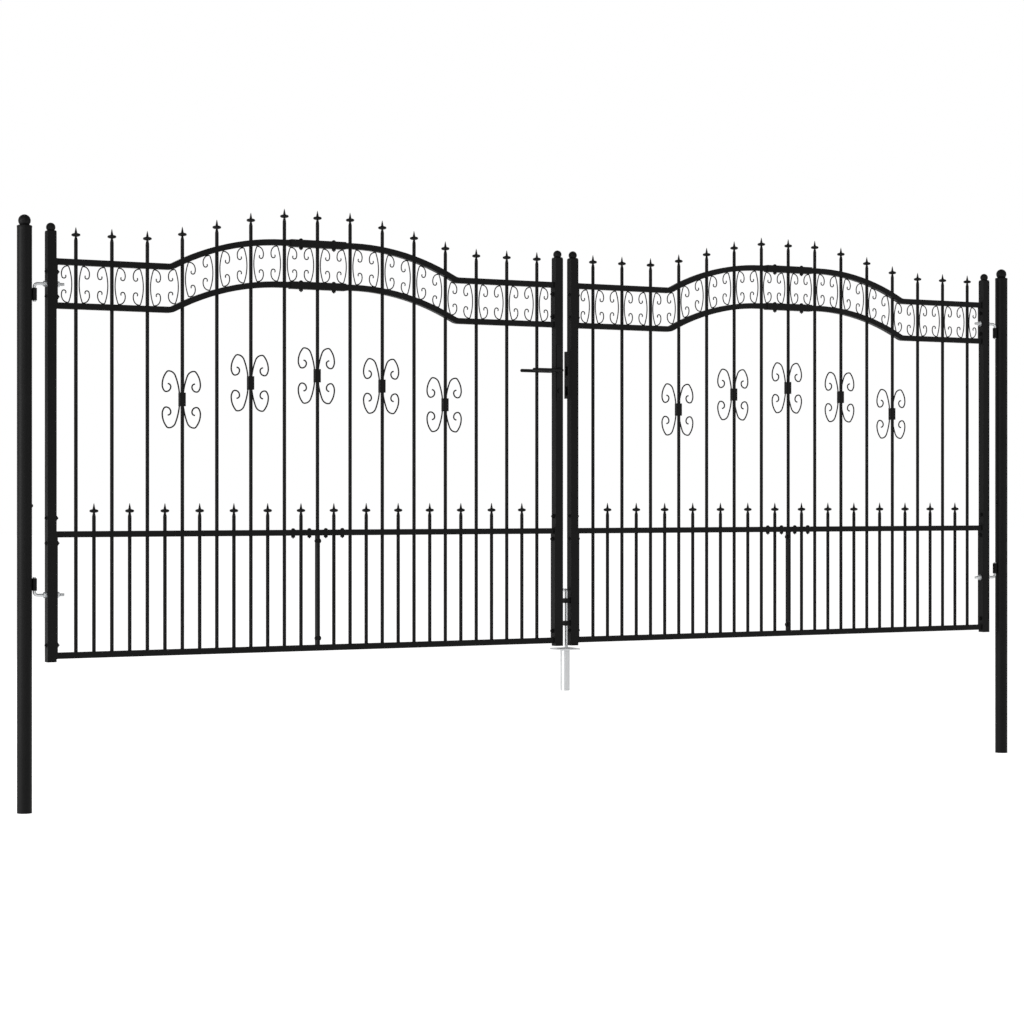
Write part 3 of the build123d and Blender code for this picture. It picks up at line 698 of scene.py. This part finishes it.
class GATE_OT_stage(bpy.types.Operator):
    """Pale floor, white surroundings, soft lamps and the camera at the photograph's angle"""
    bl_idname = "gate.stage"
    bl_label = "Stage"

    def execute(self, context):
        scene = context.scene
        mesh = bpy.data.meshes.new("floor")
        mesh.from_pydata([(-60, -60, 0), (64, -60, 0), (64, 60, 0), (-60, 60, 0)], [], [(0, 1, 2, 3)])
        floor = bpy.data.objects.new("floor", mesh)
        scene.collection.objects.link(floor)
        mesh.materials.append(self.floor_material(scene.gate_colours))
        self.world(scene)
        for name, place, size, power in LAMPS:
            self.lamp(scene, name, place, size, power)
        camera = bpy.data.cameras.new("camera")
        camera.lens, camera.sensor_width, camera.shift_y = LENS, SENSOR, SHIFT_Y
        holder = bpy.data.objects.new("camera", camera)
        holder.location = CAMERA_PLACE
        holder.rotation_euler = (math.radians(90), 0, math.radians(CAMERA_YAW))
        scene.collection.objects.link(holder)
        scene.camera = holder
        scene.view_settings.view_transform = "Standard"
        return {"FINISHED"}

    def lamp(self, scene, name, place, size, power):
        """Square soft lamp that faces the gate's middle."""
        light = bpy.data.lights.new(name, "AREA")
        light.size, light.energy = size, power
        lamp = bpy.data.objects.new(name, light)
        lamp.location = place
        x, y, z = np.array(LIT) - place
        lamp.rotation_euler = (math.atan2(math.hypot(x, y), -z), 0, math.atan2(y, x) - math.pi / 2)
        scene.collection.objects.link(lamp)

    def seen(self, tree):
        """1 on rays from the camera, off glossy surfaces and through clear ones, else 0."""
        path = add(tree, "ShaderNodeLightPath")
        first = add(tree, "ShaderNodeMath", [(path, "Is Camera Ray", 0), (path, "Is Glossy Ray", 1)],
                    operation="MAXIMUM")
        return add(tree, "ShaderNodeMath", [(first, 0, 0), (path, "Is Transmission Ray", 1)],
                   operation="MAXIMUM")

    def floor_material(self, colours):
        """Matt pale sheet: it takes the gate's soft shadow and is white to the camera."""
        material = bpy.data.materials.new("pale_floor")
        material.use_nodes = True
        tree = material.node_tree
        tree.nodes.clear()
        matt = add(tree, "ShaderNodeBsdfDiffuse", Color=linear(colours.floor))
        glow = add(tree, "ShaderNodeEmission", Color=(1, 1, 1, 1), Strength=FLOOR_GLOW)
        none = add(tree, "ShaderNodeEmission", Color=(0, 0, 0, 1), Strength=0.0)
        lift = add(tree, "ShaderNodeMixShader", [(self.seen(tree), 0, "Fac"), (none, 0, 1), (glow, 0, 2)])
        both = add(tree, "ShaderNodeAddShader", [(matt, 0, 0), (lift, 0, 1)])
        add(tree, "ShaderNodeOutputMaterial", [(both, 0, "Surface")])
        return material

    def world(self, scene):
        """Even studio light from all round, white to the camera."""
        world = bpy.data.worlds.new("studio")
        world.use_nodes = True
        tree = world.node_tree
        tree.nodes.clear()
        light = add(tree, "ShaderNodeBackground", Color=(1, 1, 1, 1), Strength=WORLD_LIGHT)
        white = add(tree, "ShaderNodeBackground", Color=(1, 1, 1, 1), Strength=1.0)
        path = add(tree, "ShaderNodeLightPath")
        mix = add(tree, "ShaderNodeMixShader", [(path, "Is Camera Ray", "Fac"), (light, 0, 1), (white, 0, 2)])
        add(tree, "ShaderNodeOutputWorld", [(mix, 0, "Surface")])
        scene.world = world


PIECES = (GATE_OT_materials, GATE_OT_bars, GATE_OT_band_scrolls, GATE_OT_bar_scrolls, GATE_OT_caps,
          GATE_OT_hinges, GATE_OT_fasteners, GATE_OT_lock, GATE_OT_drop_rod, GATE_OT_stage)


class GATE_PT_panel(bpy.types.Panel):
    """Sidebar panel that lists the gate's sizes, colours and pieces"""
    bl_idname = "GATE_PT_panel"
    bl_label = "Driveway gate"
    bl_space_type = "VIEW_3D"
    bl_region_type = "UI"
    bl_category = "Gate"

    def draw(self, context):
        for group in (context.scene.gate_sizes, context.scene.gate_colours):
            for key in group.__annotations__:
                self.layout.prop(group, key)
        for piece in PIECES:
            self.layout.operator(piece.bl_idname)


CLASSES = (GateColours, GateSizes, *PIECES, GATE_PT_panel)


def register():
    for cls in CLASSES:
        bpy.utils.register_class(cls)
    bpy.types.Scene.gate_colours = bpy.props.PointerProperty(type=GateColours)
    bpy.types.Scene.gate_sizes = bpy.props.PointerProperty(type=GateSizes)


def unregister():
    del bpy.types.Scene.gate_sizes, bpy.types.Scene.gate_colours
    for cls in reversed(CLASSES):
        bpy.utils.unregister_class(cls)


def main():
    """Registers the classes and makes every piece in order."""
    register()
    for piece in PIECES:
        getattr(bpy.ops.gate, piece.bl_idname.split(".")[1])()


if __name__ == "__main__":
    main()
